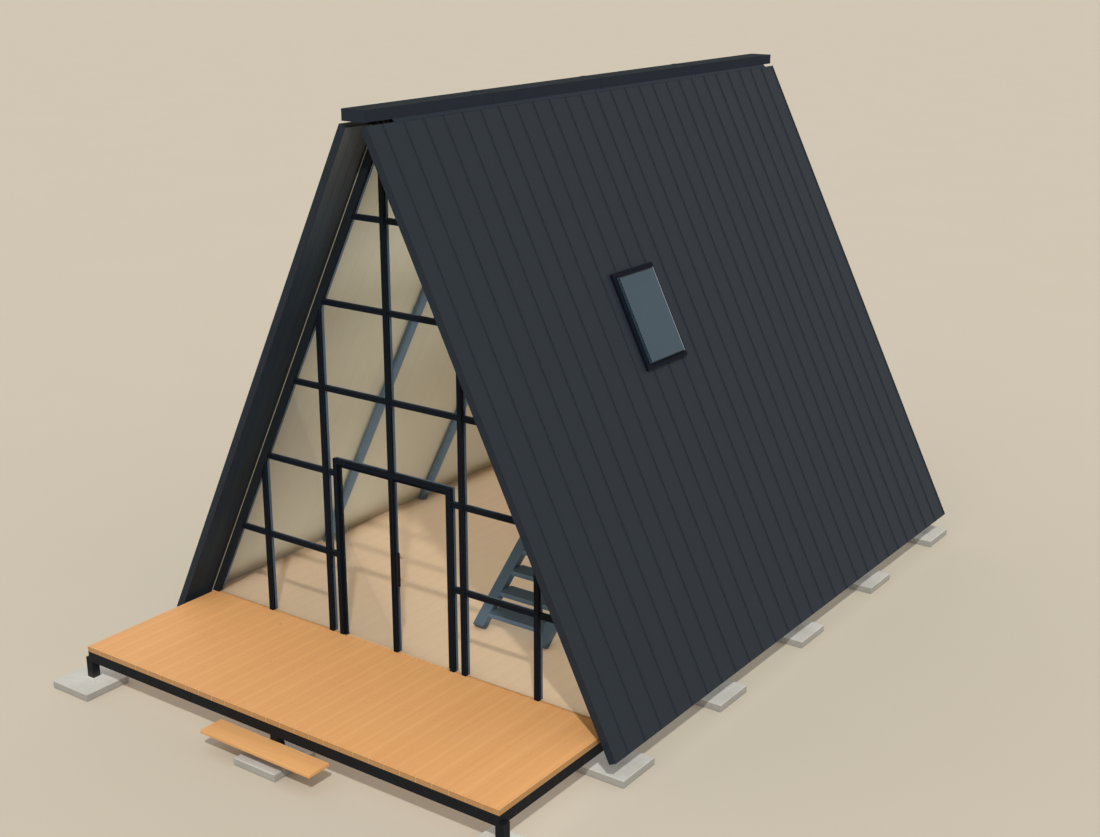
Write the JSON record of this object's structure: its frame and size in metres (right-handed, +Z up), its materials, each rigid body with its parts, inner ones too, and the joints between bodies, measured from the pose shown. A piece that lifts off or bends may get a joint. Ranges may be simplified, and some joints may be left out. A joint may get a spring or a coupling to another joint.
{
  "type": "a-frame cabin",
  "caption": "A-frame cabin on pads with a metal roof down to the floor, a glazed front gable with a double door, a deck, a step, a roof light and a stair to a loft.",
  "frame": {"origin": "middle of the plan at ground level, on the undersides of the pads", "axes": "+X to the right seen from the front, +Y from the deck towards the closed back wall, +Z up"},
  "size_m": [6.6, 10.6, 6.6871],
  "materials": {
    "concrete": "matt cast concrete",
    "dark_steel": "satin powder coat",
    "deck_timber": "oiled softwood boards",
    "floor_timber": "matt lacquered boards",
    "lining_timber": "clear matt finish",
    "plank_timber": "oiled softwood",
    "roof_board": "dark stained",
    "roof_metal": "matt coated sheet",
    "ridge_metal": "matt coated sheet",
    "frame_metal": "satin powder coat",
    "tube_steel": "satin paint",
    "clear_glass": "clear",
    "roof_glass": "clear, slightly grey",
    "pivot_steel": "brushed"
  },
  "bodies": {
    "cabin": {"footing_pads": "concrete", "foot_posts": "dark_steel", "left_side_beam": "dark_steel", "right_side_beam": "dark_steel", "centre_beam": "dark_steel", "cross_beams": "dark_steel", "deck_boards": "deck_timber", "cabin_floor": "floor_timber", "sole_plates": "floor_timber", "step_plank": "plank_timber", "step_brackets": "dark_steel", "a_frame_tubes": "tube_steel", "ridge_beam": "lining_timber", "left_lining": "lining_timber", "right_lining": "lining_timber", "left_roof_panel": "roof_board", "right_roof_panel": "roof_board", "left_roof_cladding": "roof_metal", "right_roof_cladding": "roof_metal", "ridge_cap": "ridge_metal", "skylight_frame": "frame_metal", "skylight_glass": "roof_glass", "gable_trims": "lining_timber", "left_raking_frame": "frame_metal", "right_raking_frame": "frame_metal", "gable_mullions": "frame_metal", "gable_transoms": "frame_metal", "door_jambs": "frame_metal", "door_header": "frame_metal", "lower_gable_glass": "clear_glass", "upper_gable_glass": "clear_glass", "door_pivots": "pivot_steel", "rear_wall": "roof_board", "rear_cladding": "roof_metal", "rear_lining": "lining_timber", "stair_stringers": "tube_steel", "stair_treads": "tube_steel", "loft_beams": "lining_timber", "loft_floor": "floor_timber"},
    "left_leaf": {"left_door_frame": "frame_metal", "left_door_glass": "clear_glass"},
    "right_leaf": {"right_door_frame": "frame_metal", "right_door_glass": "clear_glass", "door_handle": "frame_metal"}
  },
  "joints": [
    {"name": "left_leaf_pivot", "type": "hinge", "parent": "cabin", "child": "left_leaf", "pos_m": [-0.785, -3, 0.503], "axis": [0, 0, -1], "range_deg": [0, 90]},
    {"name": "right_leaf_pivot", "type": "hinge", "parent": "cabin", "child": "right_leaf", "pos_m": [0.785, -3, 0.503], "axis": [0, 0, 1], "range_deg": [0, 90]}
  ]
}
